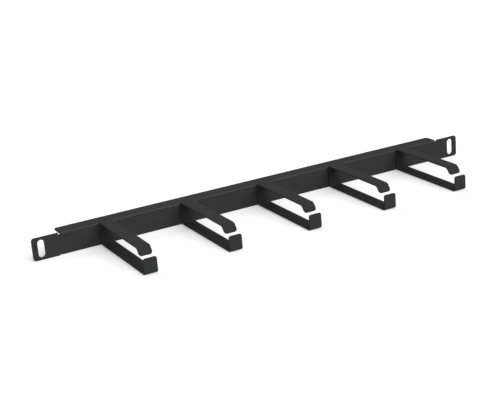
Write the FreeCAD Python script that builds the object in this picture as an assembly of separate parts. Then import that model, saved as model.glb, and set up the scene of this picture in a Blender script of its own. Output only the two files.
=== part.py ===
import FreeCAD, Part
import math
import os

# Horizontal cable manager, half a rack unit high, for a 19-inch rack.
#
# One folded steel panel spans the rack. Its middle is a channel with a flange turned back
# along the top and the bottom, and its two flat ears are slotted for the rack's screws.
# Five C-shaped cable brackets, each folded from one steel strip, are welded to its front.
#
# Millimetres. X runs along the panel, -Y points out of the rack towards the user, Z is up.
# The origin is the middle of the panel's rear face, the face that meets the rack's rails.

Vector = FreeCAD.Vector

# ---- Driving dimensions -------------------------------------------------------------------

# The panel.
rack_width = 482.6          # over the two ears, fixed by the 19-inch standard
panel_height = 22.2         # half a rack unit
panel_sheet = 1.5           # thickness of the steel
panel_bend_radius = 0.5     # inside the bends of both flanges
flange_depth = 15.5         # from the panel's front face to a flange's free edge
flange_corner_radius = 2.5  # at the free corners of both flanges

# The ears and their slots.
ear_length = 27.5           # from the end of the flanges to the end of the panel
ear_corner_radius = 3.0
slot_inset = 8.75           # from the end of the panel to the middle of its slot
slot_width = 6.5
slot_length = 17.0
relief_width = 1.4          # the round-ended notch that frees the end of each bend
relief_depth = 2.0

# The cable brackets.
bracket_count = 5
bracket_inset = 45.4        # from the end of the flanges to the middle of the first bracket
bracket_width = 13.0        # width of the strip
bracket_sheet = 1.5         # thickness of the strip
bracket_reach = 100.0       # from the panel's front face to the front of the tab
bracket_height = 22.8       # over both arms
bracket_rise = 0.6          # underside of a bracket above the panel's lower edge
bracket_bend_radius = 1.5   # inside the three square bends
tab_height = 15.5           # upturned tab at the front, from the bracket's underside
mouth = 5.8                 # gap that a cable is pushed through, from tab to lip
lip_length = 8.8            # down-turned end of the upper arm, from its bend's corner
lip_angle = 50.0            # how far the lip turns down, in degrees
lip_bend_radius = 2.5       # inside the lip's bend
tab_corner_radius = 2.0     # at the two free corners of the tab
lip_corner_radius = 2.8     # at the two free corners of the lip

# ---- Places worked out from them ----------------------------------------------------------

panel_front = -panel_sheet
panel_top = panel_height / 2
flange_half = rack_width / 2 - ear_length
slot_out = rack_width / 2 - slot_inset
bracket_out = flange_half - bracket_inset
bracket_pitch = 2 * bracket_out / (bracket_count - 1)
bracket_under = bracket_rise - panel_height / 2
bracket_top = bracket_under + bracket_height
tab_front = panel_front - bracket_reach
lip_front = tab_front + bracket_sheet + mouth


# ---- Helpers for folded sheet -------------------------------------------------------------

def inward(start, end):
    """The direction from a face towards the inside of a fold that turns about +X."""
    return Vector(1, 0, 0).cross((end - start).normalize())


def inner_corners(corners, sheet):
    """The sharp corners of the inner face, one sheet inside the corners of the outer face."""
    normals = [inward(a, b) for a, b in zip(corners, corners[1:])]
    inner = [corners[0] + normals[0] * sheet]
    for corner, before, after in zip(corners[1:], normals, normals[1:]):
        inner.append(corner + (before + after) * (sheet / (1 + before.dot(after))))
    inner.append(corners[-1] + normals[-1] * sheet)
    return inner


def rounded_line(corners, radii):
    """Straight runs between the corners, with a tangent arc at each bend."""
    edges = []
    start = corners[0]
    for before, corner, after, radius in zip(corners, corners[1:], corners[2:], radii):
        back = (before - corner).normalize()
        onward = (after - corner).normalize()
        half_angle = back.getAngle(onward) / 2
        reach = radius / math.tan(half_angle)
        middle = (back + onward).normalize() * (radius / math.sin(half_angle) - radius)
        edges.append(Part.makeLine(start, corner + back * reach))
        edges.append(Part.Arc(corner + back * reach, corner + middle, corner + onward * reach).toShape())
        start = corner + onward * reach
    edges.append(Part.makeLine(start, corners[-1]))
    return edges


def folded_sheet(corners, sheet, inner_radii, width):
    """A sheet folded along the outer corners given, as a solid of this width centred on X = 0."""
    inner = inner_corners(corners, sheet)
    edges = rounded_line(corners, [radius + sheet for radius in inner_radii])
    edges += rounded_line(inner, inner_radii)
    edges.append(Part.makeLine(corners[0], inner[0]))
    edges.append(Part.makeLine(corners[-1], inner[-1]))
    section = Part.Face(Part.Wire(Part.__sortEdges__(edges)))
    section.translate(Vector(-width / 2, 0, 0))
    return section.extrude(Vector(width, 0, 0))


def through_slot(width, length, x, z, depth):
    """A round-ended cutter that stands along Z and runs through the panel from Y = 0."""
    radius = width / 2
    straight = length / 2 - radius
    low_left = Vector(x - radius, 0, z - straight)
    low_right = Vector(x + radius, 0, z - straight)
    high_left = Vector(x - radius, 0, z + straight)
    high_right = Vector(x + radius, 0, z + straight)
    edges = [
        Part.makeLine(low_left, high_left),
        Part.Arc(high_left, Vector(x, 0, z + length / 2), high_right).toShape(),
        Part.makeLine(high_right, low_right),
        Part.Arc(low_right, Vector(x, 0, z - length / 2), low_left).toShape(),
    ]
    return Part.Face(Part.Wire(edges)).extrude(Vector(0, -depth, 0))


def corner_edges(solid, sheet, near):
    """The short edges that run through the sheet at the places that near() accepts."""
    return [
        edge for edge in solid.Edges
        if abs(edge.Length - sheet) < 1e-6 and near(edge.CenterOfMass)
    ]


# ---- The pieces ---------------------------------------------------------------------------

def make_channel():
    """The middle of the panel: the front face with both flanges folded back from it."""
    flange_end = panel_front + flange_depth
    corners = [
        Vector(0, flange_end, panel_top),
        Vector(0, panel_front, panel_top),
        Vector(0, panel_front, -panel_top),
        Vector(0, flange_end, -panel_top),
    ]
    bends = [panel_bend_radius, panel_bend_radius]
    channel = folded_sheet(corners, panel_sheet, bends, 2 * flange_half)
    free = corner_edges(channel, panel_sheet, lambda place: abs(place.y - flange_end) < 1e-6)
    return channel.makeFillet(flange_corner_radius, free)


def make_ear(side):
    """A flat end of the panel, with its slot; side is -1 on the left and 1 on the right."""
    inner_x = side * flange_half
    outer_x = side * rack_width / 2
    start = Vector(min(inner_x, outer_x), panel_front, -panel_top)
    ear = Part.makeBox(ear_length, panel_sheet, panel_height, start)
    free = corner_edges(ear, panel_sheet, lambda place: abs(place.x - outer_x) < 1e-6)
    ear = ear.makeFillet(ear_corner_radius, free)
    ear = ear.cut(through_slot(slot_width, slot_length, side * slot_out, 0, panel_sheet))
    relief_x = inner_x + side * relief_width / 2
    for relief_z in (-panel_top, panel_top):
        relief = through_slot(relief_width, 2 * relief_depth, relief_x, relief_z, panel_sheet)
        ear = ear.cut(relief)
    return ear


def make_panel():
    """The whole panel as the one folded sheet that it is."""
    return make_channel().fuse([make_ear(-1), make_ear(1)]).removeSplitter()


def make_bracket():
    """One cable bracket, centred on X = 0 with its web against the panel's front face."""
    lip = math.radians(lip_angle)
    lip_corner = Vector(0, lip_front + lip_length * math.cos(lip), bracket_top)
    corners = [
        Vector(0, tab_front, bracket_under + tab_height),
        Vector(0, tab_front, bracket_under),
        Vector(0, panel_front, bracket_under),
        Vector(0, panel_front, bracket_top),
        lip_corner,
        lip_corner - Vector(0, math.cos(lip), math.sin(lip)) * lip_length,
    ]
    bends = [bracket_bend_radius] * 3 + [lip_bend_radius]
    bracket = folded_sheet(corners, bracket_sheet, bends, bracket_width)
    tab_back = tab_front + bracket_sheet
    tab_corners = corner_edges(bracket, bracket_sheet, lambda place: place.y < tab_back)
    bracket = bracket.makeFillet(tab_corner_radius, tab_corners)
    lip_corners = corner_edges(bracket, bracket_sheet, lambda place: place.y > tab_back)
    return bracket.makeFillet(lip_corner_radius, lip_corners)


def save(node, solid):
    """Write one piece as a STEP file named after its node, and print what it measures."""
    if not solid.isValid() or len(solid.Solids) != 1:
        raise ValueError(node + " is not one valid solid")
    solid.exportStep("parts/" + node + ".step")
    box = solid.BoundBox
    print(f"{node}: {box.XLength:.1f} x {box.YLength:.1f} x {box.ZLength:.1f} mm, {solid.Volume:.0f} mm3")


os.makedirs("parts", exist_ok=True)
save("front_panel", make_panel())
for index in range(bracket_count):
    bracket = make_bracket()
    bracket.translate(Vector(index * bracket_pitch - bracket_out, 0, 0))
    save(f"cable_bracket_{index + 1}", bracket)
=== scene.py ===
# %% [markdown]
# # A slim rack panel with five cable brackets
#
# This lesson dresses one real part: a folded steel panel for a 19-inch rack that carries five
# C-shaped cable brackets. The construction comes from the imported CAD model, which sets every size.
# What is left for Blender is what a press brake and a powder coat do to steel. Sheared edges lose
# their sharpness, bends turn into smooth bands, and the black coat has a fine grain.
#
# The frame is loaded first. Everything in it is in metres, with X along the panel, -Y towards the
# user and Z up.

# %% Load the frame
import math

import bmesh
import bpy
from mathutils import Matrix, Vector


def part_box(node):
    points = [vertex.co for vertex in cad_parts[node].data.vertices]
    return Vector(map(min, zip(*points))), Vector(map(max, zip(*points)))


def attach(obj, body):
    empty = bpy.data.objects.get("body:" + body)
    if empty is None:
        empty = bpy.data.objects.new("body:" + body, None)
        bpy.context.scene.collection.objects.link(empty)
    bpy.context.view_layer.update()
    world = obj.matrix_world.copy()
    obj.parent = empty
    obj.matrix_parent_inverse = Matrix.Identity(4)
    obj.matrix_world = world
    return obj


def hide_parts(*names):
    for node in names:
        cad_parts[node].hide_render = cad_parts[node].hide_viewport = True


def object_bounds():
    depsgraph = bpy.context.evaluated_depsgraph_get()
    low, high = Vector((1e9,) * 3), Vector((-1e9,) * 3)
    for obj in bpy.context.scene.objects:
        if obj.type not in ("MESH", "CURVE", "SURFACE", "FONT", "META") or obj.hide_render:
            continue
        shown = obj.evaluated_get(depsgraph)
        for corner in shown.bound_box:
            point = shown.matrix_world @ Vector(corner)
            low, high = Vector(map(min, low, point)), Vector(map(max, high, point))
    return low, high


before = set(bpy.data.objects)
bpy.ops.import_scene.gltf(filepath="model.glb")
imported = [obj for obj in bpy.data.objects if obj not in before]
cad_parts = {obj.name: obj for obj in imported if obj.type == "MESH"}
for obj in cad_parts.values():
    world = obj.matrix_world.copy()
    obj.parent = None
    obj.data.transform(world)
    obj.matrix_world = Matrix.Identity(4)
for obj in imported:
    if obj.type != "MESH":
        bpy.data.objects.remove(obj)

cad_low, cad_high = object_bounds()
print("CAD nodes:", sorted(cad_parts))
print("CAD box in mm:", [round(1000 * value, 2) for value in (*cad_low, *cad_high)])

# %% [markdown]
# ## What the steel measures
#
# A folded part is known by a few numbers: the thickness of its sheet, the radii of its bends and the
# lengths between them. The outer lengths are read from the boxes of the CAD nodes. The rest are the
# sizes of the punch and the bending tool, which a box can't show, so they are written down here.

# %% Read the sizes
MM = 0.001

panel_low, panel_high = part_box("front_panel")
bracket_low, bracket_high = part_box("cable_bracket_1")
bracket_nodes = sorted(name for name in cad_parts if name.startswith("cable_bracket"))

sheet = 1.5 * MM                # thickness of the panel and of the brackets' strip
panel_bend = 2.0 * MM           # outside of the panel's bends
bracket_bend = 3.0 * MM         # outside of a bracket's square bends
coat_edge = 0.28 * MM           # how far the coat rounds a sheared edge
edge_angle = math.radians(35)   # an edge sharper than this was sheared
weld_gap = 0.005 * MM           # points closer than this are one
hair = 0.001 * MM               # keeps two rounded corners from meeting in one point
bend_steps = 10                 # facets in a square bend
slot_steps = 10                 # facets in a quarter of a slot's round end
corner_steps = 6                # facets in a rounded corner
edge_steps = 3                  # facets in a coated edge

panel_width = panel_high.x - panel_low.x
panel_height = panel_high.z - panel_low.z
flange_depth = panel_high.y - panel_low.y
print(f"panel {panel_width / MM:.1f} x {panel_height / MM:.1f} mm, {flange_depth / MM:.1f} mm deep")
print("brackets:", len(bracket_nodes))

# %% Sizes of the punched shapes
ear_length = 27.5 * MM
ear_corner = 3.0 * MM
slot_inset = 8.75 * MM
slot_width = 6.5 * MM
slot_length = 17.0 * MM
relief_width = 1.4 * MM
relief_depth = 2.0 * MM
flange_corner = 2.5 * MM

tab_corner = 2.0 * MM
lip_corner = 2.8 * MM
tab_height = 15.5 * MM
mouth = 5.8 * MM
lip_length = 8.8 * MM
lip_turn = math.radians(50)
lip_radius = 4.0 * MM           # outside of the lip's bend

# %% [markdown]
# ## Hands for the workbench
#
# The pieces are modelled with Blender's own operators, as by hand. An operator acts on whatever is
# selected, so the work needs three small helpers: one starts a sheet, one selects by place, and one
# applies a modifier. Selecting by place keeps each step readable: the code says where an edge is and
# not which number it has.

# %% Start a flat sheet that faces the user
def start_sheet(name, low, high):
    """A flat upright face from low to high, with its normal towards the user, in edit mode."""
    bpy.ops.object.select_all(action="DESELECT")
    middle = (low + high) / 2
    bpy.ops.mesh.primitive_plane_add(size=1, location=middle, rotation=(math.pi / 2, 0, 0))
    piece = bpy.context.object
    piece.name = name
    piece.data.name = name
    bpy.ops.object.mode_set(mode="EDIT")
    bpy.ops.mesh.select_all(action="SELECT")
    bpy.ops.transform.resize(value=(high.x - low.x, 1, high.z - low.z))
    bpy.ops.object.mode_set(mode="OBJECT")
    bpy.ops.object.transform_apply(location=True, rotation=True, scale=True)
    bpy.ops.object.mode_set(mode="EDIT")
    return piece


# %% Select by place
def pick(kind, wanted):
    """Select the VERT, EDGE or FACE elements whose middle passes, and return their number."""
    bpy.ops.mesh.select_mode(type=kind)
    bpy.ops.mesh.select_all(action="DESELECT")
    edited = bpy.context.object.data
    mesh = bmesh.from_edit_mesh(edited)
    elements = {"VERT": mesh.verts, "EDGE": mesh.edges, "FACE": mesh.faces}[kind]
    found = 0
    for element in elements:
        ends = [element] if kind == "VERT" else list(element.verts)
        middle = sum((end.co for end in ends), Vector()) / len(ends)
        if wanted(middle):
            element.select_set(True)
            found += 1
    mesh.select_flush_mode()
    bmesh.update_edit_mesh(edited)
    return found


def near(value, target):
    """True if two lengths are the same to a hundredth of a millimetre."""
    return abs(value - target) < 0.01 * MM


# %% Turn a flat sheet into coated steel
def add_modifier(piece, kind, **settings):
    """Add a modifier with these settings and apply it."""
    modifier = piece.modifiers.new(kind.lower(), kind)
    for name, value in settings.items():
        setattr(modifier, name, value)
    bpy.ops.object.modifier_apply(modifier=modifier.name)


def finish_steel(piece):
    """Give the sheet its thickness, round its sheared edges and smooth its bends."""
    bpy.ops.mesh.select_all(action="SELECT")
    bpy.ops.mesh.remove_doubles(threshold=weld_gap)
    bpy.ops.object.mode_set(mode="OBJECT")
    add_modifier(piece, "SOLIDIFY", thickness=sheet, offset=-1, use_even_offset=True)
    add_modifier(
        piece, "BEVEL", width=coat_edge, segments=edge_steps, limit_method="ANGLE",
        angle_limit=edge_angle, miter_outer="MITER_ARC", use_clamp_overlap=False,
    )
    bpy.ops.object.shade_smooth()
    add_modifier(piece, "WEIGHTED_NORMAL", weight=100, keep_sharp=True)
    print(f"{piece.name}: {len(piece.data.polygons)} faces, {len(piece.data.vertices)} points")


# %% [markdown]
# ## The brackets
#
# Each real bracket starts as a flat strip and goes through a press brake four times. The model does
# the same: it starts with the upturned tab and pulls its lower edge along the strip, once for each
# straight run. That leaves sharp folds on the line of the outer face. A bevel across a fold is
# exactly a bend of that radius, and the thickness is added inwards afterwards, so the outside stays
# where the CAD has it.

# %% Fold one strip
def fold_bracket(name):
    """The first bracket as an open sheet on its outer faces, with its bends and rounded corners."""
    front, back = bracket_low.y, bracket_high.y
    under, top = bracket_low.z, bracket_high.z
    tab_top = under + tab_height
    piece = start_sheet(
        name, Vector((bracket_low.x, front, under)), Vector((bracket_high.x, front, tab_top))
    )
    lip_y = front + sheet + mouth + lip_length * math.cos(lip_turn)
    runs = [
        (0, back - front, 0),
        (0, 0, top - under),
        (0, lip_y - back, 0),
        (0, -lip_length * math.cos(lip_turn), -lip_length * math.sin(lip_turn)),
    ]
    pick("EDGE", lambda place: near(place.z, under))
    for run in runs:
        bpy.ops.mesh.extrude_region_move(TRANSFORM_OT_translate={"value": run})
    return piece, lip_y


bracket, lip_fold = fold_bracket("coated_bracket_1")
print("runs in the folded strip:", len(bmesh.from_edit_mesh(bracket.data).faces))

# %% Bend the folds and round the free corners
def is_square_fold(place):
    """True at the three square folds, where the strip turns along the box of the bracket."""
    at_front = near(place.y, bracket_low.y) and near(place.z, bracket_low.z)
    at_back = near(place.y, bracket_high.y)
    return at_front or at_back and not near(place.z, (bracket_low.z + bracket_high.z) / 2)


bracket_middle = (bracket_low.x + bracket_high.x) / 2
lip_end_z = bracket_high.z - lip_length * math.sin(lip_turn)
tab_end_z = bracket_low.z + tab_height

square = pick("EDGE", lambda place: near(place.x, bracket_middle) and is_square_fold(place))
bpy.ops.mesh.bevel(offset=bracket_bend, segments=bend_steps, affect="EDGES")
turned = pick("EDGE", lambda place: near(place.x, bracket_middle) and near(place.y, lip_fold))
bpy.ops.mesh.bevel(offset=lip_radius * math.tan(lip_turn / 2), segments=bend_steps, affect="EDGES")
at_tab = pick("VERT", lambda place: near(place.z, tab_end_z))
bpy.ops.mesh.bevel(offset=tab_corner, segments=corner_steps, affect="VERTICES")
at_lip = pick("VERT", lambda place: near(place.z, lip_end_z))
bpy.ops.mesh.bevel(offset=lip_corner, segments=corner_steps, affect="VERTICES")
print("square bends:", square, " lip bends:", turned, " free corners:", at_tab, at_lip)

finish_steel(bracket)

# %% [markdown]
# ## Five alike
#
# The maker bends one bracket and then four more to the same stops. Each copy has its own mesh, which
# is moved inside the object. The objects themselves stay at the origin, so a pattern in the coat runs
# on from one piece to the next and doesn't repeat.

# %% Copy the bracket to the other places
brackets = [bracket]
for node in bracket_nodes[1:]:
    copy = bracket.copy()
    copy.data = bracket.data.copy()
    copy.name = node.replace("cable", "coated")
    copy.data.name = copy.name
    bpy.context.scene.collection.objects.link(copy)
    copy.data.transform(Matrix.Translation((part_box(node)[0].x - bracket_low.x, 0, 0)))
    brackets.append(copy)

# %% [markdown]
# ## The panel's blank
#
# The panel is laser-cut or punched flat before it is folded. The blank could be cut out of a solid
# with booleans, but those leave thin, ragged faces around a hole. Here the sheet is divided with
# bisect cuts where the punch goes, the waste is deleted, and the spare cuts are dissolved again. What
# is left is a sheet with two clean slots and four small reliefs that end the bends.

# %% Divide the sheet and punch out the waste
panel_front = panel_low.y
flange_half = panel_width / 2 - ear_length
slot_middle = panel_width / 2 - slot_inset
slot_sides = (slot_middle - slot_width / 2, slot_middle + slot_width / 2)
relief_side = flange_half + relief_width
slot_end = slot_length / 2
relief_end = panel_height / 2 - relief_depth

panel = start_sheet(
    "coated_panel",
    Vector((panel_low.x, panel_front, panel_low.z)),
    Vector((panel_high.x, panel_front, panel_high.z)),
)


def cut_across(axis, place):
    """Cut the selected faces in two at this place on one axis, and keep both halves."""
    point = Vector((0, panel_front, 0))
    point[axis] = place
    normal = Vector()
    normal[axis] = 1
    bpy.ops.mesh.bisect(plane_co=point, plane_no=normal)


for distance in (flange_half, relief_side, slot_sides[0], slot_middle, slot_sides[1]):
    for side in (-1, 1):
        bpy.ops.mesh.select_all(action="SELECT")
        cut_across(0, side * distance)
for end, (inner, outer) in ((slot_end, slot_sides), (relief_end, (flange_half, relief_side))):
    for side in (-1, 1):
        pick("FACE", lambda place: inner < abs(place.x) < outer)
        cut_across(2, side * end)


def is_waste(place):
    """True inside a slot or a relief."""
    in_slot = slot_sides[0] < abs(place.x) < slot_sides[1] and abs(place.z) < slot_end
    in_relief = flange_half < abs(place.x) < relief_side and abs(place.z) > relief_end
    return in_slot or in_relief


waste = pick("FACE", is_waste)
bpy.ops.mesh.delete(type="FACE")
print("faces punched out:", waste)

# %% Dissolve the cuts that aren't needed any more
spare_lines = (flange_half, relief_side, *slot_sides)


def is_spare(place):
    """True at an upright cut with steel on both sides of it."""
    on_line = any(near(abs(place.x), line) for line in spare_lines)
    beside_slot = abs(place.x) > relief_side + MM and abs(place.z) < slot_end
    beside_relief = abs(place.x) < relief_side + MM and abs(place.z) > relief_end
    inside = abs(place.z) < panel_height / 2 - 0.1 * MM
    return on_line and inside and not beside_slot and not beside_relief


spare = pick("EDGE", is_spare)
bpy.ops.mesh.dissolve_edges(use_verts=False)
stray = pick(
    "VERT",
    lambda place: near(abs(place.z), panel_height / 2)
    and any(near(abs(place.x), line) for line in slot_sides),
)
bpy.ops.mesh.dissolve_verts()
print("cuts dissolved:", spare, " stray points:", stray)

# %% [markdown]
# ## Slots, corners and flanges
#
# A vertex bevel rounds a corner of flat sheet, and with half of the slot's width as its radius it
# turns the square end of the slot into a half circle. The flanges are then pulled back from the long
# edges, and their folds are bevelled like those of the brackets.

# %% Round the slots and the corners
def round_corners(radius, wanted, steps=corner_steps):
    """Round the flat corners that pass the test."""
    found = pick("VERT", wanted)
    bpy.ops.mesh.bevel(offset=radius, segments=steps, affect="VERTICES")
    return found


slots = round_corners(
    slot_width / 2 - hair,
    lambda place: near(abs(place.z), slot_end)
    and any(near(abs(place.x), line) for line in slot_sides),
    steps=slot_steps,
)
ears = round_corners(ear_corner, lambda place: near(abs(place.x), panel_width / 2))
reliefs = round_corners(
    relief_width / 2 - hair,
    lambda place: near(abs(place.z), relief_end) and near(abs(place.x), relief_side),
)
print("corners rounded:", slots, ears, reliefs)

# %% Pull back the flanges and bend them
flange_end = panel_front + flange_depth
for side in (-1, 1):
    pick("EDGE", lambda place: near(place.x, 0) and near(place.z, side * panel_height / 2))
    bpy.ops.mesh.extrude_region_move(TRANSFORM_OT_translate={"value": (0, flange_depth, 0)})
folds = pick(
    "EDGE",
    lambda place: near(place.x, 0)
    and near(place.y, panel_front)
    and near(abs(place.z), panel_height / 2),
)
bpy.ops.mesh.bevel(offset=panel_bend, segments=bend_steps, affect="EDGES")
corners = round_corners(flange_corner, lambda place: near(place.y, flange_end))
print("folds bent:", folds, " flange corners:", corners)

finish_steel(panel)

# %% [markdown]
# ## Shader maths as plain sums
#
# A powder coat is several patterns on top of each other, so its nodes are easiest to read as sums. A
# small class stands for one output of a node and adds a Math node for each sign in an expression. One
# method adds any other node: settings first, then the values or links of its inputs.

# %% A socket that can be added and multiplied
class Signal:
    """One output of a shader node, for use in sums."""

    def __init__(self, finish, socket):
        self.finish = finish
        self.socket = socket

    def __add__(self, other):
        return self.finish.maths("ADD", self, other)

    def __sub__(self, other):
        return self.finish.maths("SUBTRACT", self, other)

    def __rsub__(self, other):
        return self.finish.maths("SUBTRACT", other, self)

    def __mul__(self, other):
        return self.finish.maths("MULTIPLY", self, other)

    def __rmul__(self, other):
        return self.finish.maths("MULTIPLY", other, self)


# %% A finish that nodes are added to
class Finish:
    """A material, or the world, and the nodes that make it up."""

    def __init__(self, owner, output="ShaderNodeOutputMaterial"):
        owner.use_nodes = True
        self.owner = owner
        self.output = output
        self.tree = owner.node_tree
        self.tree.nodes.clear()

    def node(self, kind, settings=None, inputs=None, output=0):
        """Add a node, with its settings first and then its inputs, and return one of its outputs."""
        made = self.tree.nodes.new(kind)
        for name, value in (settings or {}).items():
            if name == "stops":
                set_stops(made.color_ramp, value)
            else:
                setattr(made, name, value)
        for name, value in (inputs or {}).items():
            if isinstance(value, Signal):
                self.tree.links.new(value.socket, made.inputs[name])
            else:
                made.inputs[name].default_value = value
        return Signal(self, made.outputs[output]) if made.outputs else None

    def maths(self, operation, first, second):
        """Add a Math node for two values."""
        return self.node("ShaderNodeMath", {"operation": operation}, {0: first, 1: second})

    def size(self, value):
        """The value without its sign."""
        return self.node("ShaderNodeMath", {"operation": "ABSOLUTE"}, {0: value})

    def surface(self, shader):
        """Use this shader for what is seen, and return the material or the world."""
        self.node(self.output, inputs={"Surface": shader})
        return self.owner


def set_stops(ramp, stops):
    """Put these (position, level) stops on a colour ramp, as greys."""
    while len(ramp.elements) < len(stops):
        ramp.elements.new(1)
    for element, (position, level) in zip(ramp.elements, stops):
        element.position = position
        element.color = (level, level, level, 1)


# %% [markdown]
# ## The black powder coat
#
# Textured powder melts into a skin of tiny humps about half a millimetre apart, made by a cell
# pattern. Finer flecks of noise break them up, and a slow cloud makes the coat a touch lighter in one
# place than in another. The humps are a little smoother than the valleys between them. Their colour
# is painted lighter and the valleys' colour darker, as a painted highlight on the humps and painted
# shade in the valleys. Along the outside of the panel's two long bends the coat is smoother still,
# and it gleams there in a fine line.

# %% Find the outside of the panel's bends
most_gleam = 0.2                # weight of the clear skin on the middle of a bend


def bend_gleam(finish, place):
    """How much the coat gleams: most along the middle of the panel's two long bends, and else not."""
    along = finish.size(finish.node("ShaderNodeSeparateXYZ", inputs={"Vector": place}, output="X"))
    back = finish.node("ShaderNodeSeparateXYZ", inputs={"Vector": place}, output="Y")
    rise = finish.size(finish.node("ShaderNodeSeparateXYZ", inputs={"Vector": place}, output="Z"))
    upward = (rise - (panel_height / 2 - panel_bend)) * (1 / panel_bend)
    forward = (panel_front + panel_bend - back) * (1 / panel_bend)
    on_panel = finish.maths("GREATER_THAN", back, panel_front + 0.02 * MM)
    on_channel = finish.maths("LESS_THAN", along, flange_half)
    ridge = 2 * finish.maths("MAXIMUM", upward, 0) * finish.maths("MAXIMUM", forward, 0)
    return ridge * ridge * on_panel * on_channel * most_gleam


# %% Mix the powder coat
hump_scale = 1900.0             # cells in a metre
fleck_scale = 1000.0
cloud_scale = 22.0
# The two ends of the coat's colour. Between them lie random tone and also painted shade in the
# valleys and a painted highlight on the humps.
dark_tone_and_valley_shade = (0.0215, 0.0217, 0.0223, 1)
light_tone_and_hump_highlight = (0.0415, 0.0417, 0.0427, 1)
hump_depth = 0.1 * MM


def make_powder_coat():
    """Fine-textured matt black powder coat."""
    coat = Finish(bpy.data.materials.new("powder_coat"))
    place = coat.node("ShaderNodeTexCoord", output="Object")
    humps = coat.node(
        "ShaderNodeTexVoronoi", {"feature": "F1"}, {"Vector": place, "Scale": hump_scale}
    )
    flecks = coat.node(
        "ShaderNodeTexNoise",
        inputs={"Vector": place, "Scale": fleck_scale, "Detail": 2.0, "Roughness": 0.6},
    )
    cloud = coat.node(
        "ShaderNodeTexNoise",
        inputs={"Vector": place, "Scale": cloud_scale, "Detail": 3.0, "Roughness": 0.6},
    )
    # The hump pattern paints the humps lighter and the valleys darker in the colour, as painted
    # highlight and painted shade. It also sets the roughness and the bump.
    hump_relief_and_painted_light = coat.node("ShaderNodeValToRGB", {"stops": [(0.12, 1.0), (0.72, 0.0)]}, {"Fac": humps})
    mottle = coat.node("ShaderNodeValToRGB", {"stops": [(0.34, 0.0), (0.66, 1.0)]}, {"Fac": flecks})
    tone_and_painted_hump_light = hump_relief_and_painted_light * 0.45 + mottle * 0.3 + cloud * 0.25
    colour = coat.node(
        "ShaderNodeMix", {"data_type": "RGBA"},
        {0: tone_and_painted_hump_light, 6: dark_tone_and_valley_shade, 7: light_tone_and_hump_highlight}, output=2,
    )
    roughness = 0.85 - hump_relief_and_painted_light * 0.08 - mottle * 0.08 + cloud * 0.08
    height = hump_relief_and_painted_light * 0.8 + flecks * 0.2
    relief = coat.node(
        "ShaderNodeBump", inputs={"Strength": 1.0, "Distance": hump_depth, "Height": height}
    )
    shader = coat.node(
        "ShaderNodeBsdfPrincipled",
        inputs={
            "Base Color": colour, "Roughness": roughness, "Normal": relief, "IOR": 1.45,
            "Specular IOR Level": 0.045, "Coat Weight": bend_gleam(coat, place),
            "Coat Roughness": 0.4,
        },
    )
    return coat.surface(shader)


powder_coat = make_powder_coat()
print("nodes in the coat:", len(powder_coat.node_tree.nodes))

# %% [markdown]
# ## Dress the part
#
# Every piece rides on the part's one rigid body and is shown in place of its CAD node, which stays in
# the scene but is hidden. Each also gets the powder coat as its material.

# %% Hand the pieces to the frame
for piece, node in zip([panel, *brackets], ["front_panel", *bracket_nodes]):
    piece.data.materials.clear()
    piece.data.materials.append(powder_coat)
    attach(piece, "root")
    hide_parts(node)
print("pieces dressed:", 1 + len(brackets))

# %% [markdown]
# ## The studio
#
# The part lies on a wide white floor under two soft lamps: a large one at the front right, halfway up
# the sky, and a weak one behind that opens up the back. A faint light from everywhere fills the
# shadows. Rays that reach the camera or mirror in the coat meet a white floor and a white room, and
# the floor keeps the part's soft shadow.

# %% Floor
floor_gap = 0.02 * MM
floor_size = 16                 # metres
bpy.ops.object.select_all(action="DESELECT")
bpy.ops.mesh.primitive_plane_add(size=floor_size, location=(0, 0, cad_low.z - floor_gap))
floor = bpy.context.object
floor.name = "floor"
bpy.ops.object.transform_apply(location=True, rotation=True, scale=True)


def seen_or_mirrored(finish):
    """1 for a ray from the camera, or one that mirrors in a surface or passes through one, else 0."""
    seen = finish.node("ShaderNodeLightPath", output="Is Camera Ray")
    mirrored = finish.node("ShaderNodeLightPath", output="Is Glossy Ray")
    passed = finish.node("ShaderNodeLightPath", output="Is Transmission Ray")
    return seen + mirrored + passed


def make_floor_paint():
    """White floor: matt paint that keeps a shadow, with some white of its own where it is seen."""
    paint = Finish(bpy.data.materials.new("floor_paint"))
    matt = paint.node("ShaderNodeBsdfDiffuse", inputs={"Color": (0.8, 0.8, 0.8, 1)})
    white = paint.node("ShaderNodeBsdfDiffuse", inputs={"Color": (0.85, 0.85, 0.85, 1)})
    glow = paint.node("ShaderNodeEmission", inputs={"Strength": 0.27})
    bright = paint.node("ShaderNodeAddShader", inputs={0: white, 1: glow})
    mixed = paint.node("ShaderNodeMixShader", inputs={0: seen_or_mirrored(paint), 1: matt, 2: bright})
    return paint.surface(mixed)


floor.data.materials.append(make_floor_paint())
print(f"floor at Z {floor.data.vertices[0].co.z / MM:.2f} mm")

# %% Room light
def make_room():
    """A soft grey light from everywhere, and a white room where the room itself is seen."""
    room = Finish(bpy.data.worlds.new("room"), "ShaderNodeOutputWorld")
    soft = room.node("ShaderNodeBackground", inputs={"Color": (1, 1, 1, 1), "Strength": 0.12})
    white = room.node("ShaderNodeBackground", inputs={"Color": (1, 1, 1, 1), "Strength": 1.0})
    mixed = room.node("ShaderNodeMixShader", inputs={0: seen_or_mirrored(room), 1: soft, 2: white})
    return room.surface(mixed)


bpy.context.scene.world = make_room()
print("nodes in the room:", len(bpy.context.scene.world.node_tree.nodes))

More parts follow.
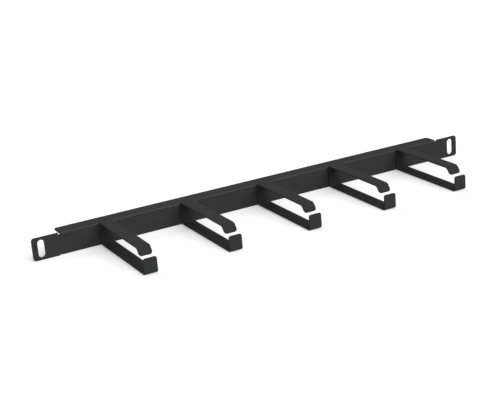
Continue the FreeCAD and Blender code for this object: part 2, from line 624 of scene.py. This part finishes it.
# %% Soft lamps
def hang_sun(name, azimuth, elevation, spread, strength):
    """A wide soft light from this direction: degrees round from the front, and above the floor."""
    sun = bpy.data.lights.new(name, "SUN")
    sun.angle = math.radians(spread)
    sun.energy = strength
    fitting = bpy.data.objects.new(name, sun)
    bpy.context.scene.collection.objects.link(fitting)
    turn, rise = math.radians(azimuth), math.radians(elevation)
    flat = math.cos(rise)
    towards = Vector((math.sin(turn) * flat, -math.cos(turn) * flat, math.sin(rise)))
    fitting.location = towards
    fitting.rotation_euler = (-towards).to_track_quat("-Z", "Y").to_euler()
    print(f"{name}: {strength} from azimuth {azimuth}, elevation {elevation}")


hang_sun("key_light", azimuth=15, elevation=41, spread=55, strength=3.4)
hang_sun("back_light", azimuth=205, elevation=26, spread=50, strength=1.5)

# %% [markdown]
# ## The camera
#
# The camera stands to the left and a little above, with a long lens, so that the panel runs away to
# the upper right. It is described as a photographer would: how far round, how high, how far it leans
# and how far away it stands, and then a small slide that puts the part in the middle of the frame.

# %% Place the camera
azimuth = math.radians(-27.40)
elevation = math.radians(18.52)
lean = math.radians(-4.76)
distance = 1216.6 * MM
slide_right = -13.52 * MM
slide_up = 4.36 * MM
aim = Vector((0, -1.5, -11.625)) * MM

forward = Vector((
    -math.sin(azimuth) * math.cos(elevation),
    math.cos(azimuth) * math.cos(elevation),
    -math.sin(elevation),
))
level = Vector((math.cos(azimuth), math.sin(azimuth), 0))
upright = level.cross(forward)
right = level * math.cos(lean) + upright * math.sin(lean)
up = upright * math.cos(lean) - level * math.sin(lean)

lens = bpy.data.cameras.new("camera")
lens.sensor_width = 36
lens.lens = 87.64
lens.clip_start = 0.05
lens.clip_end = 50
camera = bpy.data.objects.new("camera", lens)
bpy.context.scene.collection.objects.link(camera)
stand = aim - forward * distance + right * slide_right + up * slide_up
camera.matrix_world = Matrix.Translation(stand) @ Matrix((right, up, -forward)).transposed().to_4x4()
bpy.context.scene.camera = camera
print("camera at", [round(value, 3) for value in camera.location])

# %% Keep colours as they are written
bpy.context.scene.view_settings.view_transform = "Standard"
